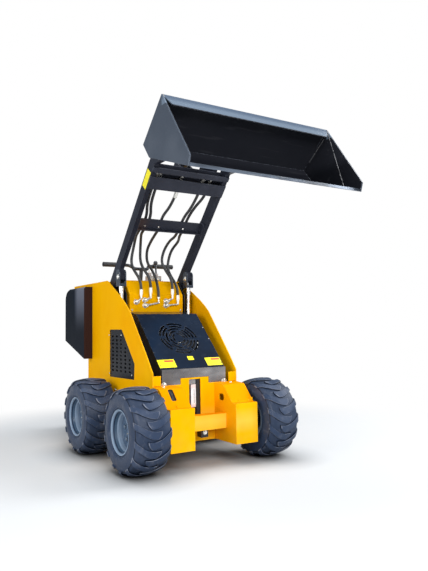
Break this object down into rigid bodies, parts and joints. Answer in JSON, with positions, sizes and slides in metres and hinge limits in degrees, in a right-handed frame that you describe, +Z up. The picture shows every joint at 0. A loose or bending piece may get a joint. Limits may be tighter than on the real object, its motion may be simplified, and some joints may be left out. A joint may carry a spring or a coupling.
{
  "type": "mini wheel loader",
  "caption": "Compact stand-on wheel loader with raised lift arms, a wide bucket, a tilt cylinder, looped hydraulic hoses, a sloping vented hood and a folding operator platform.",
  "frame": {"origin": "on the ground, under the middle of the machine's outer box with the arms raised and the platform down", "axes": "+Z up, the machine faces -Y, its right side is at -X, its length runs along Y"},
  "size_m": [1.0424, 2.3902, 1.8664],
  "materials": {
    "yellow_paint": "semi-gloss",
    "black_paint": "semi-gloss",
    "navy_paint": "gloss",
    "grey_paint": "gloss",
    "rim_silver": "satin",
    "tyre_rubber": "matte",
    "hose_rubber": "satin",
    "grip_rubber": "matte",
    "black_plastic": "matte",
    "gauge_white": "gloss",
    "steel": "bright",
    "rod_chrome": "polished",
    "engine_metal": "cast"
  },
  "bodies": {
    "chassis": {"wheel_motors": "black_paint", "tower_right": "yellow_paint", "tower_left": "yellow_paint", "side_grilles": "black_paint", "channel_walls": "black_paint", "pivot_pins": "steel", "belly_plate": "yellow_paint", "front_bulkhead": "yellow_paint", "rear_bulkhead": "yellow_paint", "front_legs": "yellow_paint", "front_beam": "yellow_paint", "tow_lug": "black_paint", "hood": "navy_paint", "hood_apron": "grey_paint", "hydraulic_panel": "yellow_paint", "top_deck": "yellow_paint", "rear_housing": "black_plastic", "engine_block": "engine_metal", "drive_handle": "black_paint", "handle_grips": "grip_rubber", "control_valve": "steel", "control_lever": "black_paint", "level_gauge": "gauge_white", "hydraulic_fittings": "steel", "hose_1": "hose_rubber", "hose_2": "hose_rubber", "hose_3": "hose_rubber", "hose_4": "hose_rubber", "hose_5": "hose_rubber"},
    "wheel_front_right": {"tyre_front_right": "tyre_rubber", "rim_front_right": "rim_silver"},
    "wheel_front_left": {"tyre_front_left": "tyre_rubber", "rim_front_left": "rim_silver"},
    "wheel_rear_right": {"tyre_rear_right": "tyre_rubber", "rim_rear_right": "rim_silver"},
    "wheel_rear_left": {"tyre_rear_left": "tyre_rubber", "rim_rear_left": "rim_silver"},
    "lift_arms": {"lift_arm_right": "black_paint", "lift_arm_left": "black_paint", "arm_cross_plates": "black_paint", "tilt_bracket": "black_paint", "arm_fittings": "steel", "coupler_block": "black_paint"},
    "lift_barrel_right": {"lift_barrel_right": "black_paint"},
    "lift_barrel_left": {"lift_barrel_left": "black_paint"},
    "lift_rod_right": {"lift_rod_right": "rod_chrome", "lift_clevis_right": "black_paint"},
    "lift_rod_left": {"lift_rod_left": "rod_chrome", "lift_clevis_left": "black_paint"},
    "tilt_barrel": {"tilt_barrel": "black_paint"},
    "tilt_rod": {"tilt_rod": "rod_chrome"},
    "bucket": {"bucket": "black_paint", "cutting_edge": "black_paint", "quick_attach_plate": "black_paint"},
    "platform": {"operator_platform": "black_paint"}
  },
  "joints": [
    {"name": "wheel_front_right_turn", "type": "hinge", "parent": "chassis", "child": "wheel_front_right", "pos_m": [-0.414, -0.432, 0.2285], "axis": [1, 0, 0], "continuous": true},
    {"name": "wheel_front_left_turn", "type": "hinge", "parent": "chassis", "child": "wheel_front_left", "pos_m": [0.414, -0.432, 0.2285], "axis": [1, 0, 0], "continuous": true},
    {"name": "wheel_rear_right_turn", "type": "hinge", "parent": "chassis", "child": "wheel_rear_right", "pos_m": [-0.414, 0.242, 0.2285], "axis": [1, 0, 0], "continuous": true},
    {"name": "wheel_rear_left_turn", "type": "hinge", "parent": "chassis", "child": "wheel_rear_left", "pos_m": [0.414, 0.242, 0.2285], "axis": [1, 0, 0], "continuous": true},
    {"name": "arm_lift", "type": "hinge", "parent": "chassis", "child": "lift_arms", "pos_m": [0, 0.305, 0.876], "axis": [1, 0, 0], "range_deg": [0, 74.3], "deforming": ["hose_1", "hose_2", "hose_3", "hose_4", "hose_5"]},
    {"name": "lift_barrel_right_swing", "type": "hinge", "parent": "chassis", "child": "lift_barrel_right", "pos_m": [-0.244, 0.157, 0.35], "axis": [1, 0, 0], "range_deg": [-0.5, 12.83]},
    {"name": "lift_rod_right_slide", "type": "slide", "parent": "lift_barrel_right", "child": "lift_rod_right", "axis": [0, 0, 1], "range_m": [-0.2895, 0.001]},
    {"name": "lift_barrel_left_swing", "type": "hinge", "parent": "chassis", "child": "lift_barrel_left", "pos_m": [0.244, 0.157, 0.35], "axis": [1, 0, 0], "range_deg": [-0.5, 12.83]},
    {"name": "lift_rod_left_slide", "type": "slide", "parent": "lift_barrel_left", "child": "lift_rod_left", "axis": [0, 0, 1], "range_m": [-0.2895, 0.001]},
    {"name": "bucket_tilt", "type": "hinge", "parent": "lift_arms", "child": "bucket", "pos_m": [0, -0.72417, 1.73211], "axis": [1, 0, 0], "range_deg": [-111, 14]},
    {"name": "tilt_barrel_swing", "type": "hinge", "parent": "lift_arms", "child": "tilt_barrel", "pos_m": [0, -0.205, 1.745], "axis": [1, 0, 0], "range_deg": [-3, 3]},
    {"name": "tilt_rod_slide", "type": "slide", "parent": "tilt_barrel", "child": "tilt_rod", "axis": [0, -0.9907, 0.1358], "range_m": [-0.2395, 0.0305]},
    {"name": "platform_fold", "type": "hinge", "parent": "chassis", "child": "platform", "pos_m": [0, 0.83, 0.19], "axis": [1, 0, 0], "range_deg": [0, 88]}
  ],
  "couplings": [
    {"joint": "lift_barrel_right_swing", "follows": "arm_lift", "ratio": 0.1686},
    {"joint": "lift_barrel_left_swing", "follows": "arm_lift", "ratio": 0.1686},
    {"joint": "lift_rod_right_slide", "follows": "arm_lift", "m_per_rad": -0.2219},
    {"joint": "lift_rod_left_slide", "follows": "arm_lift", "m_per_rad": -0.2219},
    {"joint": "tilt_barrel_swing", "follows": "bucket_tilt", "ratio": 0.01},
    {"joint": "tilt_rod_slide", "follows": "bucket_tilt", "m_per_rad": 0.1234}
  ]
}
